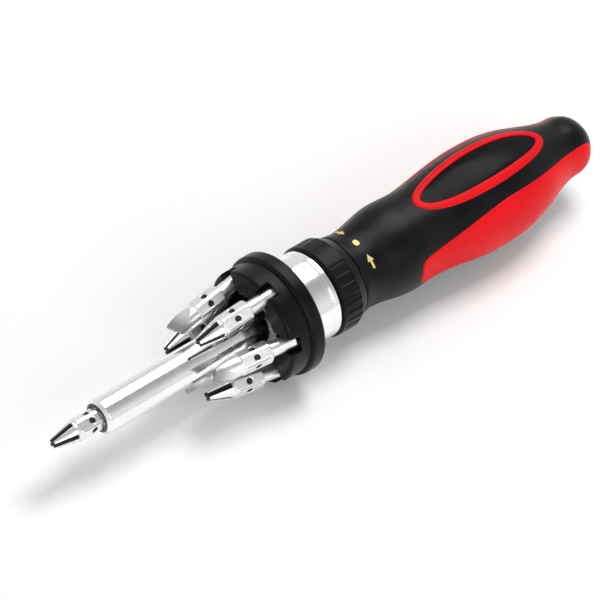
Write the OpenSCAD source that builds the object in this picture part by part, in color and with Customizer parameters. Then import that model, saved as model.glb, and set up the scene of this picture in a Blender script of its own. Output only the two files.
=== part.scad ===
// Ratcheting screwdriver with a ring of spare bits carried on its shaft.
// The tool's axis is X, its tip points to +X, and the badge on the handle faces up, +Z.
// The origin is on the axis, in the mouth of the bit socket. Sizes are in millimetres.

/* [Driver bits] */
// Width of the hexagon shank across its flats
hex_af = 6.35; // [5:0.05:7]
// Length of the hexagon shank
hex_len = 10; // [8.5:0.5:12]
// Diameter of the broad front point at its root
point_d = 6.2; // [5:0.1:6.3]
// Length of the front point
point_len = 7.25; // [6:0.25:9]
// Length of the front end's round neck before the point starts
neck_len = 0.75; // [0.5:0.25:2]
// Diameter of the slim rear end
rear_d = 4.5; // [3.6:0.1:5]
// Length of the rear end's round neck before its point starts
rear_neck = 8.5; // [7.5:0.1:9.5]
// Length of the rear point
rear_point = 6; // [5:0.25:7]
// Width of a cross point at its end, as a share of its root
cross_share = 0.5; // [0.3:0.02:0.6]
// Depth of a cross point's flutes where they start
flute_in = 1.1; // [0.4:0.05:1.3]
// Distance of a cross point's flutes from its axis at the point
flute_core = 0.6; // [0.5:0.05:1]
// Thickness of a flat blade at its edge
blade_t = 0.8; // [0.5:0.1:1.4]
// Turn of the bits about their own axes, in degrees
bit_turn = -30; // [-30:5:30]
// Diameter of the dimples in the hexagon's flats
dimple_d = 2.2; // [1:0.1:3]
// Depth of the dimples
dimple_depth = 0.5; // [0.2:0.1:0.8]

/* [Shaft] */
// Diameter of the shaft
shaft_d = 11; // [9.5:0.25:12.5]
// Length of bare shaft from the socket's mouth to the bit carrier
shaft_free = 57.5; // [48:0.5:80]
// How far the bit in use stands out of the socket
bit_reach = 16; // [14:0.5:19]
// Chamfer at the shaft's nose
nose_chamfer = 1.2; // [0.4:0.1:1.6]
// Diameter of the magnet at the bottom of the socket
magnet_d = 6; // [4:0.25:6]
// Thickness of the magnet
magnet_t = 3; // [2:0.5:6]
// Diameter of the shaft's tail inside the handle
tail_d = 8; // [7:0.25:9]

/* [Bit carrier] */
// Diameter of the carrier's rear flange
flange_d = 37.6; // [36:0.2:42]
// Thickness of the rear flange
flange_t = 5; // [4:0.25:7]
// Diameter of the lobed hub
hub_d = 35.2; // [34:0.2:36]
// Length of the lobed hub ahead of the flange
hub_len = 7; // [5:0.25:10]
// Depth of the open grooves between the lobes
groove_len = 4; // [2:0.25:4.5]
// Diameter of the dish in the middle of the hub
dish_d = 21; // [19:0.5:23]
// Radius of the circle that the spare bits enter the hub on
bit_circle_r = 14.2; // [13.5:0.1:14.6]
// Lean of the spare bits towards the shaft, in degrees
bit_lean = 8; // [4:0.5:9]
// Turn of the first spare bit from the top, in degrees
bit_phase = -10; // [-30:1:30]
// Thickness of the carrier left behind the bit pockets
pocket_floor = 2.5; // [1.5:0.1:3.2]

/* [Ratchet] */
// Thickness of the chromed ferrule round the housing's boss
ferrule_wall = 3.5; // [2.5:0.25:5]
// Length of the ferrule
ferrule_len = 10.3; // [8:0.1:14]
// Thickness of the ferrule's front lip
lip_t = 2; // [1.2:0.1:3]
// How far the gear's teeth stand out past the shaft
gear_over = 0.9; // [0.7:0.05:1]
// Length of the gear
gear_len = 6.8; // [6:0.2:9]
// Diameter of a pawl pin
pin_d = 1.8; // [1.4:0.1:2]
// Thickness of the housing's stem in the handle
stem_wall = 1.9; // [1.6:0.1:2.4]
// Length of the housing's stem
stem_len = 29; // [26:1:40]

/* [Selector] */
// Thickness of the selector ring round its cams
selector_wall = 2.3; // [1.9:0.1:4]
// Thickness of the selector ring at its rear edge
selector_back_wall = 1.1; // [0.8:0.1:1.8]
// Length of the selector ring
selector_len = 9.8; // [9.4:0.1:14]
// Length of the taper at the ring's rear
selector_taper = 3; // [1:0.25:4]
// Turn of the selector to each side of its middle, in degrees
selector_swing = 25; // [15:1:25]
// Number of grip flutes round the selector
flute_count = 30; // [16:1:36]

/* [Handle] */
// Length of the handle
handle_len = 95.5; // [90:0.5:120]
// Diameter at the handle's front edge
front_d = 24; // [23.6:0.2:25.6]
// Diameter at the neck
neck_d = 23; // [22.4:0.2:24]
// Distance of the neck from the handle's front
neck_at = 4.5; // [3:0.5:8]
// Diameter at the shoulder
shoulder_d = 27; // [25:0.2:30]
// Distance of the shoulder from the handle's front
shoulder_at = 20; // [16:0.5:23]
// Diameter at the finger waist
waist_d = 26.3; // [24.5:0.1:28]
// Distance of the finger waist from the handle's front
waist_at = 28; // [25:0.5:34]
// Diameter at the belly
belly_d = 30.4; // [28:0.2:36]
// Distance of the belly from the handle's front
belly_at = 53; // [45:0.5:60]
// Half height of the tail above the axis
tail_top = 9.6; // [8:0.1:12]
// Half height of the tail below the axis
tail_bottom = 7.9; // [7:0.1:12]
// Distance of the tail's waist from the handle's front
tail_at = 87; // [78:0.5:90]
// Squareness of the handle's section, 2 is round
section_power = 2.25; // [2:0.05:3]

/* [Grip panels and badge] */
// Depth of the soft grip panels
panel_t = 1.6; // [1:0.1:2.2]
// Height of the grip panels above the handle's surface
panel_proud = 0.3; // [0:0.05:0.5]
// Distance of the panels' front ends from the handle's front
panel_from = 20.5; // [17:0.5:28]
// Distance of the panels' rear ends from the handle's end
panel_end = 2.5; // [1.5:0.25:6]
// Half width of a panel at its front end, in degrees
panel_front_span = 20; // [14:1:30]
// Half width of a panel along the belly and tail, in degrees
panel_span = 41; // [34:1:43]
// Length of the oval badge
badge_len = 50; // [40:0.5:54]
// Width of the oval badge
badge_w = 17; // [14:0.25:18]
// Width of the red ring round the badge
badge_ring_w = 3; // [2:0.1:4]
// Depth of the badge
badge_t = 1.2; // [0.8:0.1:1.6]
// Distance of the badge's middle from the handle's front
badge_at = 52.5; // [48:0.5:58]

/* [Hidden] */
$fn = 64;

// Clearances
run_fit = 0.05;
seat_gap = 0.02;
side_gap = 0.3;
cam_gap = 0.12;
socket_gap = 0.07;
cut_past = 1;

// Places along the axis, from the socket's mouth backwards
web_face = -shaft_free - groove_len;
flange_front = -shaft_free - hub_len;
carrier_back = flange_front - flange_t;
ferrule_front = carrier_back - side_gap;
ferrule_back = ferrule_front - ferrule_len;
selector_front = ferrule_back - side_gap;
selector_back = selector_front - selector_len;
handle_front = selector_back - side_gap;

// Driver bit
tip_len = neck_len + point_len;
rear_len = rear_neck + rear_point;
bit_len = rear_len + hex_len + tip_len;
hex_d = hex_af / cos(30);
hex_corner_chamfer = 0.6;
tip_root = 1;
socket_depth = bit_len - bit_reach + side_gap;
socket_lead = 0.5;

// Bit carrier
bit_count = 6;
collar_out = 1;
collar_af = shaft_d + 2 * collar_out;
collar_t = 2;
clip_t = 0.9;
clip_out = 1.6;
clip_in = 0.5;
rim_round = 1.2;
lobe_round = 1;
groove_gap = 0.35;
pocket_gap = 0.06;
pocket_depth = web_face - carrier_back - pocket_floor;

// Ratchet gear
gear_d = shaft_d + 2 * gear_over;
tooth_share = 0.09;
tooth_depth = gear_d * tooth_share;
gear_teeth = 24;
tooth_tip = 0.17;
tooth_root = 0.5;

// Circle of the pawl pins, and the housing round the pawls
pin_over = 2.4;
pin_circle_r = gear_d / 2 + pin_over;
pawl_hub_r = 1.7;
housing_d = 2 * (pin_circle_r + pawl_hub_r);

// Ratchet housing, from its front boss to the end of its stem
gear_room = 0.3;
bore_d = gear_d + 2 * gear_room;
boss_wall = 3.3;
boss_d = bore_d + 2 * boss_wall;
boss_front = ferrule_front - lip_t - side_gap / 3;
land_rise = 0.9;
land_d = housing_d + 2 * land_rise;
land_len = 2;
land_back = ferrule_back - land_len;
gear_front = land_back - side_gap;
gear_back = gear_front - gear_len;
bore_back = gear_back - side_gap;
stem_back = handle_front - stem_len;
stem_flat = 0.85;
bush_wall = 1.9;
rear_bush_d = tail_d + 2 * bush_wall;
rear_bush_len = 16;
rear_bush_back = bore_back - rear_bush_len;
washer_over = 0.2;
washer_t = 0.6;
washer_d = rear_bush_d + 2 * washer_over;
washer_front = rear_bush_back - side_gap / 2;
stem_room = 0.5;
stem_bore_d = washer_d + 2 * stem_room;
stem_d = stem_bore_d + 2 * stem_wall;
circlip_out = 1.7;
circlip_t = 0.8;
circlip_d = tail_d + 2 * circlip_out;
circlip_front = washer_front - washer_t - side_gap / 3;
tail_end = 2;
tail_back = circlip_front - circlip_t - tail_end;
gear_key = 0.5;
gear_flat = tail_d - 2 * gear_key;
ferrule_d = boss_d + 2 * ferrule_wall;
ferrule_round = 1.2;
ferrule_bead = 0.35;

// Pawls: each rocks on a pin between a nose in the gear and a tail under the selector's cam
pawl_ratio = 0.2;
pawl_t = gear_len - 1;
pin_angle = 80;
nose_angle = 127.5;
tail_angle = 52;
tail_round_r = 0.85;
pawl_arm_half = 1.3;
tail_arm_half = 0.75;
tail_proud = 0.7;
tail_reach = housing_d / 2 + tail_proud;
nose_bite = 0.38;
nose_r = gear_d / 2 - tooth_depth * nose_bite;
nose_tip_share = 0.0078;
nose_half_tip = gear_d * nose_tip_share;
nose_over = 0.75;
nose_root_r = gear_d / 2 + nose_over;
nose_root_share = 0.0445;
nose_half_root = gear_d * nose_root_share;
nose_back = 16;
nose_front = 5;
nose_slope = 0.5;
pawl_mid = (gear_front + gear_back) / 2;
tail_margin = 11;
window_from = tail_angle - tail_margin;
nose_margin = 10;
window_to = nose_angle + nose_margin;
floor_to = 66;
spring_floor_in = 1.1;
spring_floor_r = pin_circle_r - spring_floor_in;
pin_hold = 0.7;
pin_len = pawl_t + 2 * pin_hold;
pin_at = [pin_circle_r * cos(pin_angle), pin_circle_r * sin(pin_angle)];
tail_at_xy = (tail_reach - tail_round_r) * [cos(tail_angle), sin(tail_angle)];

// Selector cams and detent
cam_room = 1.4;
cam_room_d = housing_d + 2 * cam_room;
selector_d = cam_room_d + 2 * selector_wall;
selector_back_d = cam_room_d + 2 * selector_back_wall;
cam_t = pawl_t;
cam_steps = 22;
pad_root = 0.4;
cam_margin = 8;
cam_half = selector_swing + cam_margin;
tail_arm = tail_at_xy - pin_at;
cam_rise = (tail_arm[0] * sin(tail_angle) - tail_arm[1] * cos(tail_angle)) * pawl_ratio * PI / 180;
detent_r = tail_reach;
detent_notch_r = 0.95;
detent_margin = 9;
detent_half = selector_swing + detent_margin;
detent_w = 4.4;
detent_foot = 3.6;
detent_t = 0.55;
detent_crest = 0.15;
detent_in = 1.9;
detent_seat = housing_d / 2 - detent_in;
detent_rise = 0.45;
detent_apex = detent_r + detent_rise;
flute_r = 0.8;
flute_bite = 0.3;
flute_margin = 1.2;
edge_chamfer = 0.6;

// Coil springs under the pawls' tails
spring_wire = 0.34;
spring_d = 2.2;
spring_reach = norm(tail_at_xy) - tail_round_r;
spring_turns = 3.5;
spring_rings = 10;
spring_sides = 6;

// Handle section
front_round = 1;
dome_len = 9;
dome_at = handle_len - dome_len;
dome_power = 2.4;
tail_bias = 1.5;
end_close = 0.985;
section_points = 36;
section_step = 3.2;
dome_steps = 7;

// Grip panels and badge
panel_to = handle_len - panel_end;
panel_sweep = 36;
panel_corner = 4;
panel_rows = 24;
panel_cols = 8;
badge_insets = [badge_w / 4 + badge_ring_w / 2, badge_ring_w, badge_ring_w / 2, 0];
badge_points = 40;
plate_sink = 0.25;
pocket_open = 3;

// Finishes
black = [0.09, 0.09, 0.1];
soft_red = [0.87, 0.1, 0.14];
chrome = [0.86, 0.87, 0.88];
steel = [0.7, 0.71, 0.73];
dark_steel = [0.34, 0.34, 0.36];
bronze = [0.68, 0.5, 0.28];

// Shared shapes

// Lays a piece drawn along Z onto the tool's axis, with its own +X upwards
module on_axis() {
    rotate([0, 90, 0])
        rotate([0, 0, 180])
            children();
}

// Puts a piece at a spare bit's place, with its own Z along the leaning bit
module at_bit(i) {
    rotate([0, 0, i * 360 / bit_count + bit_phase])
        translate([bit_circle_r, 0, web_face])
            rotate([0, -bit_lean, 0])
                children();
}

// A point from its radius and its angle from the top
function polar(r, a) = [r * cos(a), r * sin(a)];

// Points along an arc
function arc(centre, r, from, to, steps = 6) =
    [for (i = [0 : steps]) centre + polar(r, from + (to - from) * i / steps)];

function lerp(a, b, t) = a + (b - a) * t;

// Eases from 0 to 1 with level ends
function ease(t) = let (c = min(1, max(0, t))) c * c * (3 - 2 * c);

// A wedge of a circle between two angles
module sector(r, from, to) {
    polygon(concat([[0, 0]], arc([0, 0], r, from, to, 16)));
}

// A tube with plain ends
module tube(d, bore, h) {
    difference() {
        cylinder(h = h, d = d);
        translate([0, 0, -cut_past])
            cylinder(h = h + 2 * cut_past, d = bore);
    }
}

// An open snap ring
module snap_ring(d, bore, h, mouth) {
    difference() {
        tube(d, bore, h);
        translate([0, -mouth / 2, -cut_past])
            cube([d, mouth, h + 2 * cut_past]);
    }
}

// A closed slab between two grids of points with as many rows and columns; wrap joins the last
// row to the first
module slab(top, bottom, wrap = false) {
    rows = len(top);
    cols = len(top[0]);
    last = wrap ? rows - 1 : rows - 2;
    half = rows * cols;
    function at(i, j) = (i % rows) * cols + j;
    points = concat([for (row = top) each row], [for (row = bottom) each row]);
    skins = [for (i = [0 : last]) for (j = [0 : cols - 2]) each [
        [at(i, j), at(i, j + 1), at(i + 1, j + 1)],
        [at(i, j), at(i + 1, j + 1), at(i + 1, j)],
        [half + at(i, j), half + at(i + 1, j + 1), half + at(i, j + 1)],
        [half + at(i, j), half + at(i + 1, j), half + at(i + 1, j + 1)]
    ]];
    long_sides = [for (i = [0 : last]) each [
        [at(i, 0), at(i + 1, 0), half + at(i + 1, 0)],
        [at(i, 0), half + at(i + 1, 0), half + at(i, 0)],
        [at(i, cols - 1), half + at(i + 1, cols - 1), at(i + 1, cols - 1)],
        [at(i, cols - 1), half + at(i, cols - 1), half + at(i + 1, cols - 1)]
    ]];
    ends = wrap ? [] : [for (j = [0 : cols - 2]) each [
        [at(0, j), half + at(0, j + 1), at(0, j + 1)],
        [at(0, j), half + at(0, j), half + at(0, j + 1)],
        [at(rows - 1, j), at(rows - 1, j + 1), half + at(rows - 1, j + 1)],
        [at(rows - 1, j), half + at(rows - 1, j + 1), half + at(rows - 1, j)]
    ]];
    polyhedron(points = points, faces = concat(skins, long_sides, ends));
}

// A closed body through a list of rings that each have as many points
module loft(rings) {
    count = len(rings[0]);
    last = len(rings) - 1;
    points = [for (ring = rings) each ring];
    function at(i, j) = i * count + j % count;
    skins = [for (i = [0 : last - 1]) for (j = [0 : count - 1]) each [
        [at(i, j), at(i, j + 1), at(i + 1, j + 1)],
        [at(i, j), at(i + 1, j + 1), at(i + 1, j)]
    ]];
    front = [for (j = [1 : count - 2]) [at(0, 0), at(0, j + 1), at(0, j)]];
    back = [for (j = [1 : count - 2]) [at(last, 0), at(last, j), at(last, j + 1)]];
    polyhedron(points = points, faces = concat(skins, front, back));
}

// A closed oval slab between two lists of rings, each from the middle point outwards
module oval_slab(top_mid, top, bottom_mid, bottom) {
    count = len(top[0]);
    last = len(top) - 1;
    half = 1 + len(top) * count;
    points = concat([top_mid], [for (ring = top) each ring], [bottom_mid], [for (ring = bottom) each ring]);
    function at(k, j) = 1 + k * count + j % count;
    middles = [for (j = [0 : count - 1]) each [
        [0, at(0, j + 1), at(0, j)],
        [half, half + at(0, j), half + at(0, j + 1)]
    ]];
    skins = [for (k = [0 : 1 : last - 1]) for (j = [0 : count - 1]) each [
        [at(k, j), at(k, j + 1), at(k + 1, j + 1)],
        [at(k, j), at(k + 1, j + 1), at(k + 1, j)],
        [half + at(k, j), half + at(k + 1, j + 1), half + at(k, j + 1)],
        [half + at(k, j), half + at(k + 1, j), half + at(k + 1, j + 1)]
    ]];
    walls = [for (j = [0 : count - 1]) each [
        [at(last, j), at(last, j + 1), half + at(last, j + 1)],
        [at(last, j), half + at(last, j + 1), half + at(last, j)]
    ]];
    polyhedron(points = points, faces = concat(middles, skins, walls));
}

// A coil spring along Z, swept as one tube with its ends cut square
module coil_spring(d, wire, turns, h) {
    steps = ceil(turns * spring_rings);
    rings = [for (i = [0 : steps])
        let (a = 360 * turns * i / steps, z = wire / 2 + (h - wire) * i / steps)
        [for (j = [0 : spring_sides - 1])
            let (b = 360 * j / spring_sides, r = (d - wire) / 2 + wire / 2 * cos(b))
            [r * cos(a), r * sin(a), z + wire / 2 * sin(b)]]];
    loft(rings);
}

// Driver bits

// A cross point on a round neck that starts at Z 0 and points to +Z
module cross_point(d, neck, point) {
    end = neck + point;
    flute_start = d / 2 - flute_in;
    difference() {
        rotate_extrude()
            polygon([
                [0, -tip_root], [d / 2, -tip_root], [d / 2, neck],
                [d / 2 * cross_share, end], [0, end]
            ]);
        for (a = [45 : 90 : 315])
            rotate([0, 0, a])
                translate([flute_start, 0, neck])
                    rotate([0, -atan((flute_start - flute_core) / point), 0])
                        linear_extrude(2 * point)
                            polygon([[0, 0], [d, d], [d, -d]]);
    }
}

// A flat blade on a round neck that starts at Z 0 and points to +Z
module flat_blade(d, neck, point) {
    end = neck + point;
    intersection() {
        translate([0, 0, -tip_root])
            cylinder(h = end + tip_root, d = d);
        rotate([90, 0, 0])
            linear_extrude(2 * d, center = true)
                polygon([
                    [-d, -end], [d, -end], [d, neck - point],
                    [blade_t / 2, end + seat_gap], [-blade_t / 2, end + seat_gap], [-d, neck - point]
                ]);
    }
}

// A hexagon bar from Z 0 with a flat towards +X
module hex_bar(across, h) {
    rotate([0, 0, 30])
        cylinder(h = h, d = across / cos(30), $fn = 6);
}

// The hexagon shank from Z 0, with eased corners and a dimple in the middle of every flat
module hex_shank() {
    ease_d = hex_d - 2 * hex_corner_chamfer;
    difference() {
        intersection() {
            hex_bar(hex_af, hex_len);
            rotate_extrude()
                polygon([
                    [0, 0], [ease_d / 2, 0], [hex_d / 2, hex_corner_chamfer],
                    [hex_d / 2, hex_len - hex_corner_chamfer], [ease_d / 2, hex_len], [0, hex_len]
                ]);
        }
        for (a = [0 : 60 : 300])
            rotate([0, 0, a])
                translate([hex_af / 2 - dimple_depth, 0, hex_len / 2])
                    rotate([0, 90, 0])
                        cylinder(h = dimple_depth + cut_past, d = dimple_d);
    }
}

// A double-ended bit from Z 0 at its rear end, with a cross point or a flat blade in front
module bit(cross_in_front) {
    translate([0, 0, rear_len])
        hex_shank();
    translate([0, 0, rear_len + hex_len])
        if (cross_in_front) cross_point(point_d, neck_len, point_len);
        else flat_blade(point_d, neck_len, point_len);
    translate([0, 0, rear_len])
        mirror([0, 0, 1])
            if (cross_in_front) flat_blade(rear_d, rear_neck, rear_point);
            else cross_point(rear_d, rear_neck, rear_point);
}

module driver_bit() {
    color(steel)
        translate([0, 0, bit_reach - bit_len])
            rotate([0, 0, bit_turn])
                bit(true);
}

module stored_bit(i) {
    color(steel)
        at_bit(i)
            translate([0, 0, -pocket_depth])
                rotate([0, 0, bit_turn])
                    bit(i % 2 == 0);
}

// Shaft and what turns with it

module drive_shaft() {
    clip_floor_d = shaft_d - 2 * clip_in;
    circlip_floor_d = tail_d - 2 * clip_in;
    lead_h = socket_lead + cut_past;
    color(chrome)
        difference() {
            union() {
                rotate_extrude()
                    polygon([
                        [0, 0], [shaft_d / 2 - nose_chamfer, 0], [shaft_d / 2, -nose_chamfer],
                        [shaft_d / 2, gear_front], [tail_d / 2, gear_front], [tail_d / 2, tail_back],
                        [0, tail_back]
                    ]);
                translate([0, 0, carrier_back])
                    cylinder(h = collar_t, d = collar_af / cos(30), $fn = 6);
            }
            translate([0, 0, -socket_depth])
                rotate([0, 0, bit_turn])
                    hex_bar(hex_af + 2 * socket_gap, socket_depth + cut_past);
            translate([0, 0, -socket_lead])
                cylinder(h = lead_h, d1 = hex_af, d2 = hex_af + 2 * lead_h);
            translate([0, 0, -socket_depth - magnet_t])
                cylinder(h = magnet_t + cut_past, d = magnet_d + 2 * seat_gap);
            translate([0, 0, web_face])
                tube(shaft_d + cut_past, clip_floor_d, clip_t + 2 * seat_gap);
            translate([0, 0, circlip_front - circlip_t - seat_gap])
                tube(tail_d + cut_past, circlip_floor_d, circlip_t + 2 * seat_gap);
            for (side = [0, 180])
                rotate([0, 0, side])
                    translate([gear_flat / 2, -tail_d / 2, gear_back])
                        cube([tail_d, tail_d, gear_len]);
        }
}

module chuck_magnet() {
    color(dark_steel)
        translate([0, 0, -socket_depth - magnet_t])
            cylinder(h = magnet_t, d = magnet_d);
}

// The gear's outline: straight-flanked teeth with their middles at whole pitches from the top
function gear_outline() =
    let (pitch = 360 / gear_teeth, r = gear_d / 2, root = gear_d / 2 - tooth_depth)
    [for (i = [0 : gear_teeth - 1]) each [
        polar(root, (i - tooth_root / 2) * pitch - pitch * tooth_tip / 2),
        polar(r, (i - tooth_tip / 2) * pitch),
        polar(r, (i + tooth_tip / 2) * pitch),
        polar(root, (i + tooth_root / 2) * pitch + pitch * tooth_tip / 2)
    ]];

module ratchet_gear() {
    color(steel)
        translate([0, 0, gear_back])
            linear_extrude(gear_len)
                difference() {
                    polygon(gear_outline());
                    intersection() {
                        circle(d = tail_d + 2 * seat_gap);
                        square([gear_flat + 2 * seat_gap, 2 * tail_d], center = true);
                    }
                }
}

module thrust_washer() {
    color(bronze)
        translate([0, 0, washer_front - washer_t])
            tube(washer_d, tail_d + 2 * run_fit, washer_t);
}

module retaining_ring() {
    color(dark_steel)
        translate([0, 0, circlip_front - circlip_t])
            snap_ring(circlip_d, tail_d - 2 * clip_in + 2 * seat_gap, circlip_t, tail_d / 2);
}

module carrier_clip() {
    color(dark_steel)
        translate([0, 0, web_face + seat_gap])
            snap_ring(shaft_d + 2 * clip_out, shaft_d - 2 * clip_in + 2 * seat_gap, clip_t, shaft_d / 2);
}

// The spare bits' carrier: a flange, a dished hub cut into lobes, and a pocket behind each groove
module bit_carrier() {
    hub_r = hub_d / 2;
    rim_r = flange_d / 2;
    groove_w = rear_d + 2 * groove_gap;
    collar_d = (collar_af + 2 * seat_gap) / cos(30);
    color(black)
        difference() {
            rotate_extrude()
                polygon(concat(
                    [[0, carrier_back]],
                    arc([rim_r - rim_round, carrier_back + rim_round], rim_round, -90, 0),
                    arc([rim_r - rim_round, flange_front - rim_round], rim_round, 0, 90),
                    [[hub_r, flange_front]],
                    arc([hub_r - lobe_round, -shaft_free - lobe_round], lobe_round, 0, 90),
                    [[dish_d / 2, -shaft_free], [dish_d / 2, web_face], [0, web_face]]
                ));
            translate([0, 0, carrier_back - cut_past])
                cylinder(h = hub_len + flange_t + 2 * cut_past, d = shaft_d + 2 * seat_gap);
            translate([0, 0, carrier_back - cut_past])
                cylinder(h = collar_t + seat_gap + cut_past, d = collar_d, $fn = 6);
            for (i = [0 : bit_count - 1])
                at_bit(i) {
                    translate([0, 0, -pocket_depth - seat_gap])
                        cylinder(h = pocket_depth + 2 * cut_past, d = rear_d + 2 * pocket_gap);
                    cylinder(h = 2 * groove_len, d = groove_w);
                    translate([0, -groove_w / 2, 0])
                        cube([hub_d / 2, groove_w, 2 * groove_len]);
                    translate([-hub_d / 4, -groove_w / 2, 0])
                        cube([hub_d / 4, groove_w, 2 * groove_len]);
                }
        }
}

// Ratchet

// The stem's outline: round with two flats that stop it turning in the handle
module stem_outline(gap) {
    intersection() {
        circle(d = stem_d + 2 * gap);
        square([stem_d * stem_flat + 2 * gap, 2 * stem_d], center = true);
    }
}

// The opening in the housing for one pawl, with a floor left for its spring
module pawl_window() {
    difference() {
        sector(land_d, window_from, window_to);
        intersection() {
            circle(r = spring_floor_r);
            sector(land_d, window_from - cut_past, floor_to);
        }
    }
}

module ratchet_housing() {
    window_t = pawl_t + 2 * side_gap;
    leaf_room = [land_d / 2, 2 * (detent_foot + side_gap), detent_w + 2 * side_gap];
    color(dark_steel)
        difference() {
            union() {
                rotate_extrude()
                    polygon([
                        [0, boss_front], [boss_d / 2, boss_front], [boss_d / 2, ferrule_back],
                        [land_d / 2, ferrule_back], [land_d / 2, land_back], [housing_d / 2, land_back],
                        [housing_d / 2, handle_front], [0, handle_front]
                    ]);
                translate([0, 0, stem_back])
                    linear_extrude(stem_len + side_gap)
                        stem_outline(0);
            }
            translate([0, 0, bore_back])
                cylinder(h = boss_front - bore_back + cut_past, d = bore_d);
            translate([0, 0, rear_bush_back - cut_past])
                cylinder(h = rear_bush_len + 2 * cut_past, d = rear_bush_d + 2 * seat_gap);
            translate([0, 0, stem_back - cut_past])
                cylinder(h = rear_bush_back - stem_back + cut_past, d = stem_bore_d);
            for (side = [0, 1])
                mirror([0, side, 0]) {
                    translate([0, 0, pawl_mid - window_t / 2])
                        linear_extrude(window_t)
                            pawl_window();
                    translate([pin_at[0], pin_at[1], pawl_mid - pin_len / 2 - seat_gap])
                        cylinder(h = pin_len + 2 * seat_gap, d = pin_d + 2 * seat_gap);
                }
            translate([-detent_seat - leaf_room[0] / 2, 0, pawl_mid])
                cube(leaf_room, center = true);
        }
}

module front_ferrule() {
    r = ferrule_d / 2;
    bore = boss_d / 2 + seat_gap;
    hole = shaft_d / 2 + side_gap;
    color(chrome)
        rotate_extrude()
            polygon(concat(
                [[hole, ferrule_front - lip_t], [hole, ferrule_front]],
                arc([r - ferrule_round, ferrule_front - ferrule_round], ferrule_round, 90, 0),
                [
                    [r, ferrule_back + 2 * ferrule_round + 2 * ferrule_bead],
                    [r - ferrule_bead, ferrule_back + 2 * ferrule_round + ferrule_bead],
                    [r - ferrule_bead, ferrule_back + 2 * ferrule_round - ferrule_bead],
                    [r, ferrule_back + 2 * ferrule_round - 2 * ferrule_bead],
                    [r, ferrule_back + ferrule_bead], [r - ferrule_bead, ferrule_back],
                    [bore, ferrule_back], [bore, ferrule_front - lip_t]
                ]
            ));
}

module front_bush() {
    color(bronze)
        translate([0, 0, land_back])
            tube(bore_d - 2 * seat_gap, shaft_d + 2 * run_fit, boss_front - land_back);
}

module rear_bush() {
    color(bronze)
        translate([0, 0, rear_bush_back])
            tube(rear_bush_d, tail_d + 2 * run_fit, rear_bush_len);
}

module pawl_pins() {
    color(steel)
        for (side = [0, 1])
            mirror([0, side, 0])
                translate([pin_at[0], pin_at[1], pawl_mid - pin_len / 2])
                    cylinder(h = pin_len, d = pin_d);
}

// One pawl on the right as seen from behind: a hub on its pin, a tail with a seat for its spring,
// and a toothed nose
module pawl() {
    across = [-tail_arm[1], tail_arm[0]] / norm(tail_arm);
    half_tip = nose_half_tip / nose_r * 180 / PI;
    half_root = nose_half_root / nose_root_r * 180 / PI;
    color(steel)
        translate([0, 0, pawl_mid - pawl_t / 2])
            difference() {
                union() {
                    translate(pin_at)
                        cylinder(h = pawl_t, r = pawl_hub_r);
                    translate(tail_at_xy)
                        cylinder(h = pawl_t, r = tail_round_r);
                    linear_extrude(pawl_t)
                        polygon([
                            pin_at + across * pawl_arm_half, tail_at_xy + across * tail_arm_half,
                            tail_at_xy - across * tail_arm_half, pin_at - across * pawl_arm_half
                        ]);
                    linear_extrude(pawl_t)
                        polygon([
                            polar(pin_circle_r + pawl_arm_half, pin_angle),
                            polar(pin_circle_r, nose_angle - nose_back),
                            polar(pin_circle_r - nose_slope, nose_angle + nose_front),
                            polar(nose_root_r, nose_angle + half_root),
                            polar(nose_r, nose_angle + half_tip), polar(nose_r, nose_angle - half_tip),
                            polar(nose_root_r, nose_angle - half_root),
                            polar(nose_root_r, nose_angle - nose_back),
                            polar(pin_circle_r - pawl_arm_half, pin_angle)
                        ]);
                }
                translate([pin_at[0], pin_at[1], -cut_past])
                    cylinder(h = pawl_t + 2 * cut_past, d = pin_d + 2 * run_fit);
                rotate([0, 0, tail_angle])
                    translate([spring_floor_r, 0, pawl_t / 2])
                        rotate([0, 90, 0])
                            cylinder(h = spring_reach - spring_floor_r, d = spring_d + 2 * side_gap);
            }
}

module forward_pawl() {
    pawl();
}

module reverse_pawl() {
    mirror([0, 1, 0])
        pawl();
}

// The coil spring that presses one pawl's tail out against the selector's cam
module pawl_spring() {
    height = spring_reach - spring_floor_r - 2 * seat_gap;
    color(steel)
        rotate([0, 0, tail_angle])
            translate([spring_floor_r + seat_gap, 0, pawl_mid])
                rotate([0, 90, 0])
                    coil_spring(spring_d, spring_wire, spring_turns, height);
}

module forward_pawl_spring() {
    pawl_spring();
}

module reverse_pawl_spring() {
    mirror([0, 1, 0])
        pawl_spring();
}

// The bent leaf at the bottom of the housing that clicks into the selector's notches
module detent_spring() {
    foot = detent_seat + seat_gap;
    color(steel)
        rotate([0, 0, 180])
            translate([0, 0, pawl_mid - detent_w / 2])
                linear_extrude(detent_w)
                    polygon([
                        [foot, -detent_foot], [foot + detent_t, -detent_foot],
                        [detent_apex, -detent_crest], [detent_apex, detent_crest],
                        [foot + detent_t, detent_foot], [foot, detent_foot],
                        [detent_apex - detent_t - detent_crest, 0]
                    ]);
}

// The cam over one pawl's tail: its radius falls steadily as it passes
module selector_cam() {
    outer = cam_room_d / 2 + pad_root;
    from = tail_angle - cam_half;
    to = tail_angle + cam_half;
    polygon(concat(
        arc([0, 0], outer, from, to, cam_steps),
        [for (k = [cam_steps : -1 : 0])
            let (b = lerp(from, to, k / cam_steps))
            polar(tail_reach + cam_gap + cam_rise * (tail_angle - b), b)]
    ));
}

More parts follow.
